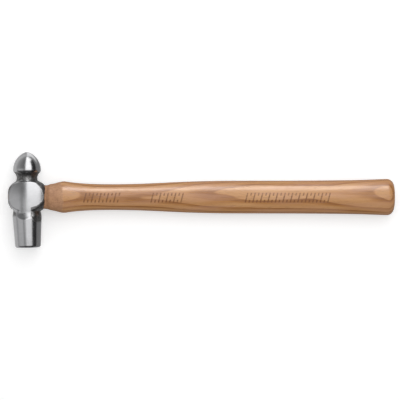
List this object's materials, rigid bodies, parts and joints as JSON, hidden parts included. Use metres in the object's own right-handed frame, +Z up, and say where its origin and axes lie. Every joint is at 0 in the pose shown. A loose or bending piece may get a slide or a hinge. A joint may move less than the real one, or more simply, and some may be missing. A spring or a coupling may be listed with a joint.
{
  "type": "ball peen hammer",
  "caption": "Light ball peen hammer: a bright forged steel head with a flat round face and a pointed ball peen, wedged on a waisted oval hickory handle.",
  "frame": {"origin": "on the bench that the hammer lies on, straight under the point where the head's axis crosses the handle's axis", "axes": "+X along the handle from the head to the butt, +Y along the head from the striking face to the ball peen, +Z up out of the upper cheek"},
  "size_m": [0.2596, 0.0646, 0.0194],
  "materials": {
    "head_steel": "forged steel, ground bright on the ball, cheeks and poll, dark forging scale on the neck and heel",
    "handle_hickory": "clear lacquered hickory, bare sanded wood at the end by the head",
    "wedge_wood": "bare beech, cut and ground flush",
    "wedge_steel": "ground flush, dull"
  },
  "bodies": {
    "root": {"head": "head_steel", "handle": "handle_hickory", "wood_wedge": "wedge_wood", "steel_wedge": "wedge_steel"}
  },
  "joints": []
}
